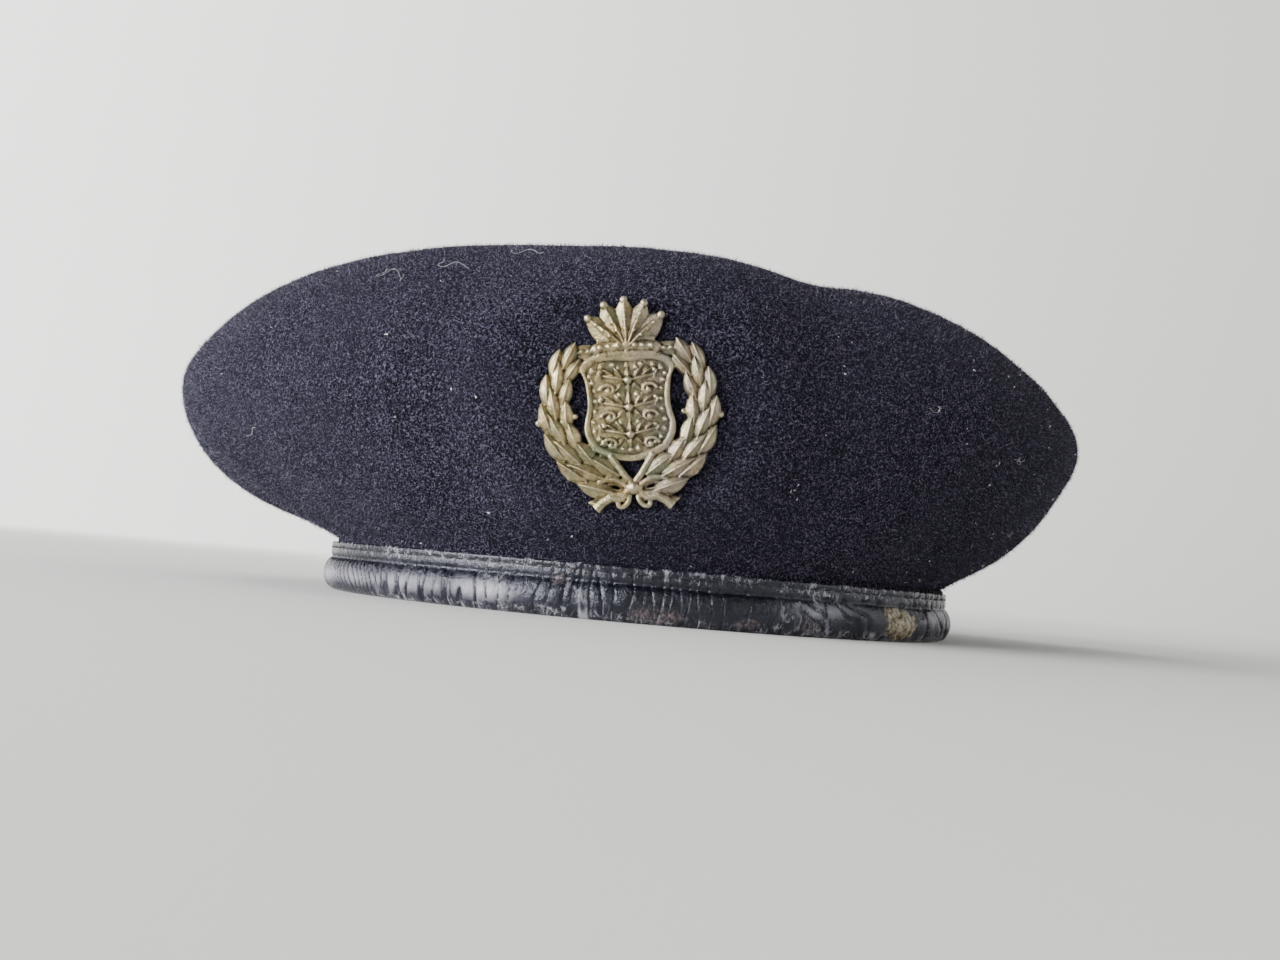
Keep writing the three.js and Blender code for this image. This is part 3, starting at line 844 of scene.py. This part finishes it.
# Short sewn threads between pairs of points, each a spindle that arches outwards
def thread_bodies(starts, ends, outward, radius, arch):
    along = ends - starts
    side = unit(np.cross(along, outward))
    points = []
    for k in range(SPINDLE_RINGS):
        share = k / (SPINDLE_RINGS - 1)
        swell = math.sqrt(max(0.04, 1 - (2 * share - 1) ** 2))
        centre = starts + along * share + outward * (arch * math.sin(math.pi * share))
        for turn in full_turn(SPINDLE_SIDES):
            points.append(centre + radius * swell * (math.cos(turn) * side + math.sin(turn) * outward))
    points = np.stack(points, 1)
    faces = capped_faces(SPINDLE_RINGS, SPINDLE_SIDES)
    size = points.shape[1]
    every = [tuple(v + size * b for v in f) for b in range(len(starts)) for f in faces]
    return points.reshape(-1, 3), every


def make_stitches():
    perimeter = math.pi * (RIM_HALF_WIDTH + RIM_HALF_LENGTH)
    count = round(perimeter / STITCH_PITCH)
    angle = 2 * math.pi * np.arange(count) / count
    half = STITCH["long"] / 2 / ((RIM_HALF_WIDTH + RIM_HALF_LENGTH) / 2)
    out = LEATHER_FACE - 0.18
    starts, ends = [beside_rim(angle + s * half, out, STITCH["up"]) for s in (-1, 1)]
    outward = unit(beside_rim(angle, 1, 0) - beside_rim(angle, 0, 0))
    points, faces = thread_bodies(starts, ends, outward, STITCH["thick"] / 2, STITCH["arch"])
    mesh_piece("binding_stitches", points, faces, [THREAD_LOOK])
    reach = math.radians(WHIP["pitch"])
    angle = np.radians(np.arange(WHIP["from"], WHIP["to"], WHIP["pitch"]))
    starts = beside_rim(angle, LEATHER_FACE - 0.15, BINDING_HEIGHT - 1.1)
    ends = beside_rim(angle + 0.4 * reach, FELT / 2 + 0.1, BINDING_HEIGHT + 1.2)
    outward = unit(beside_rim(angle, 1, 0.8) - beside_rim(angle, 0, 0))
    points, faces = thread_bodies(starts, ends, outward, WHIP["thick"] / 2, WHIP["arch"])
    mesh_piece("whip_stitches", points, faces, [THREAD_LOOK])


# Cap badge, in its own plane: X to the right, Y up and its back at Z = 0

BADGE_PLATE = 1.0
LEAF_LENGTH = 8
LEAF_WIDTH = 3.6
LEAF_RISE = 1.5
# The wreath's oval, and where its leaves stand on it, in degrees from its foot
WREATH = {
    "half_width": 16,
    "half_height": 16.6,
    "middle": -1,
    "from": 24,
    "to": 120,
    "stations": 6,
    "taper": 0.78,
}
WREATH_LEAVES = table(
    "turn aside back",
    (9, -0.52, 0.4),
    (-9, 0.52, 0.4),
    (0, 0, 0),
)
BOSS = {"half_width": 10.4, "half_height": 11.4, "middle": -1.5}
BOSS_OUTLINE = table(
    "out up",
    (0, 1),
    (0.66, 1),
    (1, 0.8),
    (0.9, 0.5),
    (0.87, 0.05),
    (0.96, -0.4),
    (0.78, -0.76),
    (0.4, -0.93),
    (0, -1),
)
SPRIG = {"rows": [0.5, 0, -0.5], "length": 6.6, "width": 2.8, "lift": math.radians(12)}


class Relief:
    """Closed bodies, gathered for one mesh."""

    def __init__(self):
        self.points = []
        self.faces = []

    def add(self, points, faces):
        base = len(self.points)
        self.points += [tuple(p) for p in points]
        self.faces += [tuple(v + base for v in f) for f in faces]

    # Rings of points joined in turn, with both ends filled
    def rings(self, rings):
        self.add([p for ring in rings for p in ring], capped_faces(len(rings), len(rings[0])))

    # A leaf from its stem towards +Y, with a rib down its middle and a slanting half either side
    def leaf(self, x, y, turn, length, width, rise=LEAF_RISE, lift=0.0, tilt=0.0):
        rings = []
        cos, sin = math.cos(turn), math.sin(turn)
        for k in range(11):
            along = k / 10
            half = width / 2 * max(0.06, math.sin(math.pi * min(1, 0.12 + 0.88 * along) ** 1.05) ** 0.75)
            crest = rise * (0.45 + 0.55 * math.sin(math.pi * min(1, along * 0.9 + 0.12)))
            ring = [(-half, 0), (-half, BADGE_PLATE * 0.9)]
            for side in (-0.62, -0.2, -0.07, 0.07, 0.2, 0.62):
                rib = 0.22 if abs(side) < 0.1 else 0
                ring.append((side * half, BADGE_PLATE + crest * (1 - abs(side)) ** 0.7 * 0.9 + rib))
            ring += [(half, BADGE_PLATE * 0.9), (half, 0)]
            ahead = along * length
            high = lift + tilt * along
            placed = []
            for s, z in ring:
                placed.append((x + s * cos - ahead * sin, y + s * sin + ahead * cos, z + high * (z > 0)))
            rings.append(placed)
        self.rings(rings)

    # A tube through points, of one radius or of a radius for each point
    def tube(self, path, radii, sides=10):
        if not isinstance(radii, list):
            radii = [radii] * len(path)
        rings = []
        for k, point in enumerate(path):
            ahead = Vector(path[min(k + 1, len(path) - 1)]) - Vector(path[max(k - 1, 0)])
            side = ahead.cross(Vector((0, 0, 1))).normalized()
            other = side.cross(ahead).normalized()
            ring = []
            for turn in full_turn(sides):
                ring.append(Vector(point) + radii[k] * (math.cos(turn) * side + math.sin(turn) * other))
            rings.append(ring)
        self.rings(rings)

    def ball(self, x, y, z, radius):
        turns = full_turn(12)
        rings = []
        for k in range(7):
            polar = math.pi * (0.04 + 0.92 * k / 6)
            out = radius * math.sin(polar)
            level = z - radius * math.cos(polar)
            rings.append([(x + out * math.cos(t), y + out * math.sin(t), level) for t in turns])
        self.rings(rings)


# A point of the wreath's oval, at an angle from its foot
def wreath_place(turn):
    return WREATH["half_width"] * math.sin(turn), WREATH["middle"] - WREATH["half_height"] * math.cos(turn)


STEM_RADIUS = 0.75
STEM_STEPS = 60


def add_wreath(relief):
    w = WREATH
    turns = [math.radians(-w["to"] + 2 * w["to"] * k / STEM_STEPS) for k in range(STEM_STEPS + 1)]
    relief.tube([(*wreath_place(turn), STEM_RADIUS) for turn in turns], STEM_RADIUS)
    for side in (-1, 1):
        for k in range(w["stations"]):
            share = k / (w["stations"] - 1)
            turn = math.radians(w["from"] + share * (w["to"] - w["from"]))
            x, y = wreath_place(side * turn)
            inward = -side * w["half_width"] * math.cos(turn)
            lean = math.atan2(inward, w["half_height"] * math.sin(turn))
            size = 1 + share * (w["taper"] - 1)
            length, width = size * LEAF_LENGTH, size * LEAF_WIDTH * 1.1
            for leaf in WREATH_LEAVES:
                aside = size * leaf["aside"] * LEAF_WIDTH
                back = -size * leaf["back"] * LEAF_LENGTH
                sx = x + aside * math.cos(lean) - back * math.sin(lean)
                sy = y + aside * math.sin(lean) + back * math.cos(lean)
                top = 0.25 if leaf["aside"] == 0 else 0
                turned = lean + math.radians(leaf["turn"])
                relief.leaf(sx, sy, turned, length, width, lift=top, tilt=0.55)
            if k in (1, 3):
                relief.ball(1.24 * x, w["middle"] + (y - w["middle"]) * 1.2, 1.0, 0.85)
                relief.ball(0.74 * x, w["middle"] + (y - w["middle"]) * 0.76, 1.0, 0.7)


# Points round the shield, drawn in by a share, with a soft curve between the outline's corners
def shield_ring(inset, up, steps=120):
    left = [(-row["out"], row["up"]) for row in BOSS_OUTLINE]
    right = [(row["out"], row["up"]) for row in BOSS_OUTLINE[-2:0:-1]]
    corners = np.array(left + right, float)
    place = np.arange(steps) / steps * len(corners)
    i = place.astype(int)
    t = (place - i)[:, None]
    p0, p1, p2, p3 = [corners[(i + k) % len(corners)] for k in (-1, 0, 1, 2)]
    curve = p1 + t / 2 * (p2 - p0 + t * (2 * p0 - 5 * p1 + 4 * p2 - p3 + t * (3 * (p1 - p2) + p3 - p0)))
    x = inset * BOSS["half_width"] * curve[:, 0]
    y = BOSS["middle"] + inset * BOSS["half_height"] * curve[:, 1]
    return [(a, b, up) for a, b in zip(x.tolist(), y.tolist())]


# Inset and height of the shield's section, from its edge to its middle
BOSS_SECTION = table(
    "inset up",
    (1, 0),
    (1, 1.3),
    (0.985, 1.65),
    (0.955, 1.8),
    (0.885, 1.75),
    (0.86, 1.45),
    (0.5, 1.6),
    (0.02, 1.65),
)

# Leaflets beside the middle of each sprig, on one side of it
SPRIG_LEAFLETS = table(
    "out up lean length",
    (1.5, 0.9, 38, 2.4),
    (3.2, 1.2, 60, 2.6),
    (1.4, -0.8, 136, 2.0),
    (5.7, 0.6, 30, 1.8),
)
# The scroll beside each sprig: its middle, its rise from the plate and its steps
CURL = {"aside": 4.3, "down": 2.0, "rise": 1.75, "steps": 15}


def add_boss(relief):
    middle, high = BOSS["middle"], BOSS["half_height"]
    relief.rings([shield_ring(row["inset"], row["up"]) for row in BOSS_SECTION])
    for k, point in enumerate(shield_ring(0.78, 1.6, 30)):
        relief.ball(*point, 0.5 if k % 2 else 0.36)
    for r, row in enumerate(SPRIG["rows"]):
        level = middle + row * high
        relief.ball(0, level, 1.9, 0.95)
        for turn in (0, math.pi):
            relief.leaf(0, level, turn, 2.9, 1.9, rise=1.3)
        for side in (-1, 1):
            turn = side * (SPRIG["lift"] - math.pi / 2)
            relief.leaf(0, level, turn, SPRIG["length"], SPRIG["width"], rise=1.35, tilt=-0.3)
            for leaf in SPRIG_LEAFLETS:
                turn = -side * math.radians(leaf["lean"])
                relief.leaf(side * leaf["out"], level + leaf["up"], turn, leaf["length"], 1.35, rise=1.35)
            x, y = side * CURL["aside"], level - CURL["down"]
            curl = []
            for k in range(CURL["steps"]):
                spin = 0.45 * k
                out = 1.9 - 0.115 * k
                curl.append((x + side * out * math.cos(spin), y + out * 0.8 * math.sin(spin), CURL["rise"]))
            relief.tube(curl, [0.46 - 0.012 * k for k in range(CURL["steps"])], 7)
            relief.ball(x, y, CURL["rise"], 0.5)
            relief.ball(side * (5.9 - 0.4 * (r == 2)), level + 2.0, 1.6, 0.5)
            relief.ball(side * 1.9, level + 2.7, 1.6, 0.42)


PALMETTE_FAN = [-48, -24, 0, 24, 48]
PALMETTE_LENGTH = 11.5
PALMETTE_FOOT = 10.5
# Bars across its foot: half width, height over the foot, rise from the plate, and thickness
PALMETTE_BARS = table(
    "half up rise radius sides",
    (6.3, -0.9, 1.25, 0.75, 10),
    (6.3, 2.3, 1.25, 0.6, 10),
    (6.2, 0.7, 0.9, 1.3, 12),
)
LINK_REACH = 14


def add_palmette(relief):
    foot, length = PALMETTE_FOOT, PALMETTE_LENGTH
    for fan in PALMETTE_FAN:
        turn = math.radians(fan)
        sin, cos = math.sin(turn), math.cos(turn)
        relief.leaf(0, foot, turn, length, 5.4, rise=1.3)
        relief.leaf(0, foot + 0.4, turn, 0.76 * length, 2.6, rise=1.9)
        for k in range(3):
            out = 4.6 + 1.9 * k
            relief.ball(-out * sin, foot + out * cos, 2.5 - 0.3 * k, 0.45)
        relief.ball(-(length - 0.8) * sin, foot + (length - 0.8) * cos, 1.1, 0.95)
    for row in PALMETTE_BARS:
        level = foot + row["up"]
        bar = [(row["half"] * k, level + 0.35 * (1 - k * k), row["rise"]) for k in np.linspace(-1, 1, 9)]
        relief.tube(bar, row["radius"], row["sides"])
    for k in range(-3, 4):
        relief.ball(1.85 * k, foot + 1.05 - 0.035 * k * k, 2.0, 0.72 if k % 2 else 0.5)
    for side in (-1, 1):
        relief.ball(side * 6.5, foot + 0.5, 1.2, 1.3)
        relief.leaf(side * 5, foot, -side * math.pi / 2, LINK_REACH - 5, 3.4, rise=0.6)
        for k in range(3):
            relief.ball(side * (8.2 + 1.5 * k), foot + 0.2, 1.5, 0.5)


# Points of a loop of ribbon or wire: its middle, half sizes and lean
def loop_path(x, y, wide, tall, lean, up):
    sin, cos = math.sin(lean), math.cos(lean)
    path = []
    for k in range(25):
        turn = 2 * math.pi * k / 24
        a, b = wide * math.cos(turn), tall * math.sin(turn)
        path.append((x + a * cos - b * sin, y + a * sin + b * cos, up))
    return path


BOW_MIDDLE = -18
BOW_LOOPS = table(
    "x y wide tall lean up radius",
    (4.4, 0, 3.2, 1.5, 14, 1.4, 0.7),
    (4.2, 0, 2.2, 0.7, 14, 1.1, 0.45),
    (2.2, -2.9, 1.6, 1.0, -50, 1.35, 0.6),
)
# Middle lines and radii of one of the bow's tails, and of the stalk that it ties
BOW_TAIL = table(
    "x y up radius",
    (0.6, -0.6, 1.3, 0.8),
    (2.6, -2.4, 1.2, 0.95),
    (5.0, -2.3, 1.35, 1.0),
    (6.8, -3.2, 1.2, 1.1),
    (8.3, -4.5, 1.0, 1.3),
)
BOW_STALK = table(
    "x y up radius",
    (-0.8, -0.5, 1.3, 0.8),
    (1.6, 2.2, 1.5, 0.85),
    (4.6, 6.6, 1.3, 0.8),
)


def add_strand(relief, rows, side):
    path = [(side * row["x"], BOW_MIDDLE + row["y"], row["up"]) for row in rows]
    relief.tube(path, [row["radius"] for row in rows], 8)


def add_bow(relief):
    for side in (-1, 1):
        for row in BOW_LOOPS:
            x, y = side * row["x"], BOW_MIDDLE + row["y"]
            path = loop_path(x, y, row["wide"], row["tall"], side * math.radians(row["lean"]), row["up"])
            relief.tube(path, row["radius"], 8)
        add_strand(relief, BOW_TAIL, side)
        relief.leaf(side * 7.4, BOW_MIDDLE - 3.4, side * math.radians(-80), 2.6, 1.6, rise=0.7)
        add_strand(relief, BOW_STALK, side)
    relief.ball(0, BOW_MIDDLE - 0.4, 1.5, 1.5)


BADGE_VOXEL = 0.17
BADGE_FACES = 90000
POST_TIP = 1.5


def make_badge():
    relief = Relief()
    add_wreath(relief)
    add_boss(relief)
    add_palmette(relief)
    add_bow(relief)
    places = np.array(relief.points, float)
    low, high = places.min(0), places.max(0)
    places[:, :2] = (places[:, :2] - (low + high)[:2] / 2) * [BADGE_WIDTH, BADGE_HEIGHT] / (high - low)[:2]
    places[:, 2] = np.maximum(places[:, 2], 0)
    post = Relief()
    reach = 2 * PLAY + FELT + NUT_THICKNESS + POST_TIP
    post.tube([(0, 0.01 * k, z) for k, z in enumerate(np.linspace(1.2, -reach, 8))], POST_RADIUS, 24)
    points = np.concatenate([places, post.points])
    faces = relief.faces + [tuple(v + len(places) for v in f) for f in post.faces]
    points = moved(points + [0, 0, PLAY], SEAT)
    badge = mesh_piece("cast_badge", points, faces, [BADGE_LOOK])
    cast = badge.modifiers.new("cast", "REMESH")
    cast.mode = "VOXEL"
    cast.voxel_size = BADGE_VOXEL * MM
    cast.use_smooth_shade = True
    soft = badge.modifiers.new("soften", "SMOOTH")
    soft.factor = 0.5
    soft.iterations = 2
    thin = badge.modifiers.new("thin", "DECIMATE")
    shape = badge.evaluated_get(bpy.context.evaluated_depsgraph_get())
    count = sum(len(p.vertices) - 2 for p in shape.data.polygons)
    thin.ratio = min(1, BADGE_FACES / count)
    bpy.context.view_layer.update()
    shape = badge.evaluated_get(bpy.context.evaluated_depsgraph_get())
    mesh = bpy.data.meshes.new_from_object(shape)
    badge.modifiers.clear()
    badge.data = mesh
    shade_smooth(mesh)
    stain_badge(badge)
    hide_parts("badge")


# A property of a mesh's points or edges, in rows
def read(items, name, width, kind=float):
    values = np.zeros(width * len(items), kind)
    items.foreach_get(name, values)
    return values.reshape(-1, width)


# How far each point of a mesh lies below (+) or above (-) its smoothed surroundings, with the
# points' directions and places
def hollows(mesh, rounds):
    count = len(mesh.vertices)
    places = read(mesh.vertices, "co", 3) / MM
    facing = read(mesh.vertex_normals, "vector", 3)
    a, b = read(mesh.edges, "vertices", 2, int).T
    ends, others = np.concatenate([a, b]), np.concatenate([b, a])
    degree = np.bincount(ends, minlength=count)[:, None]
    smooth = places.copy()
    for _ in range(rounds):
        total = np.stack([np.bincount(ends, smooth[others, k], count) for k in range(3)], 1)
        smooth = 0.3 * smooth + 0.7 * total / degree
    return ((smooth - places) * facing).sum(1), facing, places


# Dirt lies in the hollows and on the sides, and the crests are rubbed bright. The shield's foot
# has turned green and the right side of the wreath grey
def stain_badge(badge):
    depth, facing, places = hollows(badge.data, 9)
    outward = facing @ SEAT[:3, 2]
    steep = 1 - smoothstep(outward, 0.1, 0.6)
    across, up, _ = moved(places, INTO_SEAT).T
    point_attributes(
        badge,
        grime=np.clip(0.95 * smoothstep(depth, 0.02, 0.11) + 0.8 * steep, 0, 0.95),
        polish=smoothstep(-depth, 0.03, 0.13) * (1 - steep),
        green=bell(across, 0, 6.5) * bell(up, -10.6, 2.8),
        silver=smoothstep(across, 3, 13),
    )


# Lint and loose threads on the felt

LINT_SPECKS = 110
LOOSE_THREADS = table(
    "angle height turns size",
    (-31, 0.83, 1.3, 4.6),
    (-24, 0.87, 0.8, 3.6),
    (-15, 0.91, 0.7, 3.2),
    (-52, 0.42, 0.3, 2.6),
    (50, 0.52, 1.2, 1.8),
    (33, 0.60, 0.6, 2.4),
    (62, 0.33, 0.8, 1.6),
)


# Specks in clusters, more of them at the front and on the right
def make_lint(grid, normals):
    roots, up = spread(grid, normals, 12 * LINT_SPECKS, 2)
    weight = np.exp(9 * noise_at(roots, 9, 4)) * (0.06 + 2 * smoothstep(roots[:, 0], 20, 70))
    weight *= 0.1 + smoothstep(-roots[:, 1], -10, 60)
    chosen = random.choice(len(roots), LINT_SPECKS, replace=False, p=weight / weight.sum())
    roots, up = roots[chosen], up[chosen]
    lay = unit(np.cross(up, random.normal(size=up.shape)))
    half = random.uniform(0.12, 0.5, (LINT_SPECKS, 1)) * lay
    radius = 0.1 + 0.22 * random.random(LINT_SPECKS) ** 2
    points, faces = spikes(roots + 0.7 * up - half, roots + 0.95 * up + half, radius)
    mesh_piece("lint", points, faces, [LINT_LOOK], False)


LOOSE_RADIUS = 0.055
LOOSE_STEPS = 32


# Fine threads that curl over the felt
def make_threads(grid, normals):
    angles = round_angles(CROWN_ROUND, CROWN_FINENESS)
    relief = Relief()
    for k, thread in enumerate(LOOSE_THREADS):
        column = int(np.argmin(np.abs(signed(angles - math.radians(thread["angle"])))))
        front = grid[: int(0.75 * len(grid)), column]
        row = int(np.argmin(np.abs(front[:, 2] - thread["height"] * CROWN_HEIGHT)))
        root, out = grid[row, column], normals[row, column]
        side = unit(np.cross([0, 0, 1], out))
        rise = np.cross(out, side)
        path = []
        for i in range(LOOSE_STEPS + 1):
            share = i / LOOSE_STEPS
            turn = 2 * math.pi * thread["turns"] * share + k
            x = thread["size"] * (0.5 * math.cos(turn) + 1.9 * (share - 0.5))
            y = thread["size"] * (0.35 * math.sin(1.7 * turn) + 0.25 * math.sin(5 * share + k))
            path.append(tuple(root + x * side + y * rise + out * (0.5 + 0.35 * math.sin(3 * turn))))
        relief.tube(path, LOOSE_RADIUS, 5)
    mesh_piece("loose_threads", relief.points, relief.faces, [THREAD_PALE])


# The surroundings: a plain pale floor that rises into a wall all round, in metres
FLOOR_RADIUS = 1.9
FLOOR_BEND = 1.3
WALL_HEIGHT = 4.5
FLOOR_STEPS = 96


def make_floor():
    bend = [math.radians(90 * k / 12) for k in range(13)]
    section = [(FLOOR_RADIUS + FLOOR_BEND * math.sin(t), FLOOR_BEND * (1 - math.cos(t))) for t in bend]
    section.append((FLOOR_RADIUS + FLOOR_BEND, WALL_HEIGHT))
    turns = full_turn(FLOOR_STEPS)
    points = [(out * math.cos(t), out * math.sin(t), up) for out, up in section for t in turns]
    faces = [tuple(reversed(range(FLOOR_STEPS)))] + grid_faces(len(section), FLOOR_STEPS)
    mesh = bpy.data.meshes.new("floor")
    mesh.from_pydata(points, [], faces)
    shade_smooth(mesh)
    n = Nodes("floor")
    n.set(Base_Color=(0.80, 0.80, 0.785, 1), Roughness=0.9, Specular_IOR_Level=0.2)
    mesh.materials.append(n.material)
    floor = put("floor", mesh)


# Soft lights: place and aim in metres, size in metres, power in watts
LIGHTS = table(
    "name place aim size power",
    ("left_window", (-0.78, -0.46, 0.26), (0, 0, 0.04), (0.95, 0.5), 21),
    ("right_window", (0.95, -0.36, 0.34), (0.05, -0.05, 0.02), (0.3, 0.5), 1.5),
    ("ceiling", (-0.4, -0.2, 1.4), (0, 0, 0), (1.0, 1.0), 3),
    ("backdrop_wash", (-1.3, 1.1, 1.6), (-0.4, 3.1, 0.7), (1.2, 0.8), 105),
)
WORLD_COLOUR = (0.97, 0.98, 1, 1)
WORLD_STRENGTH = 0.19


def make_lights():
    for row in LIGHTS:
        light = bpy.data.lights.new(row["name"], "AREA")
        light.shape = "RECTANGLE"
        light.size, light.size_y = row["size"]
        light.energy = row["power"]
        lamp = put(row["name"], light)
        lamp.location = row["place"]
        ahead = Vector(row["aim"]) - Vector(row["place"])
        lamp.rotation_euler = ahead.to_track_quat("-Z", "Y").to_euler()
    world = bpy.data.worlds.new("studio")
    world.use_nodes = True
    background = world.node_tree.nodes["Background"]
    background.inputs["Color"].default_value = WORLD_COLOUR
    background.inputs["Strength"].default_value = WORLD_STRENGTH
    bpy.context.scene.world = world


# The camera stands where the photograph's did, to the side and in distance, but low over
# the floor, because the photograph looks up at the hat from below its rim.
CAMERA = {
    "aside": -0.0064,
    "back": 0.452,
    "height": 0.012,
    "aim": (0.004, 0, 0.038),
    "roll": math.radians(5),
}
FOCAL_PIXELS = 1600
IMAGE_WIDTH = 1280
SENSOR_WIDTH = 36


def make_camera():
    data = bpy.data.cameras.new("camera")
    data.sensor_width = SENSOR_WIDTH
    data.lens = SENSOR_WIDTH * FOCAL_PIXELS / IMAGE_WIDTH
    data.clip_start = 0.01
    camera = put("camera", data)
    camera.location = (OPENING.x + CAMERA["aside"], OPENING.y - CAMERA["back"], CAMERA["height"])
    look = (Vector(CAMERA["aim"]) - camera.location).to_track_quat("-Z", "Y").to_matrix()
    camera.rotation_euler = (look @ Matrix.Rotation(CAMERA["roll"], 3, "Z")).to_euler()
    bpy.context.scene.camera = camera


felt = felt_grid()
felt_out = grid_normals(felt)
make_crown(felt, felt_out)
make_nap(felt, felt_out)
make_binding()
make_stitches()
make_badge()
make_lint(felt, felt_out)
make_threads(felt, felt_out)
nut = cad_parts["badge_nut"]
nut.data.materials.clear()
nut.data.materials.append(NUT_LOOK)
make_floor()
make_lights()
make_camera()
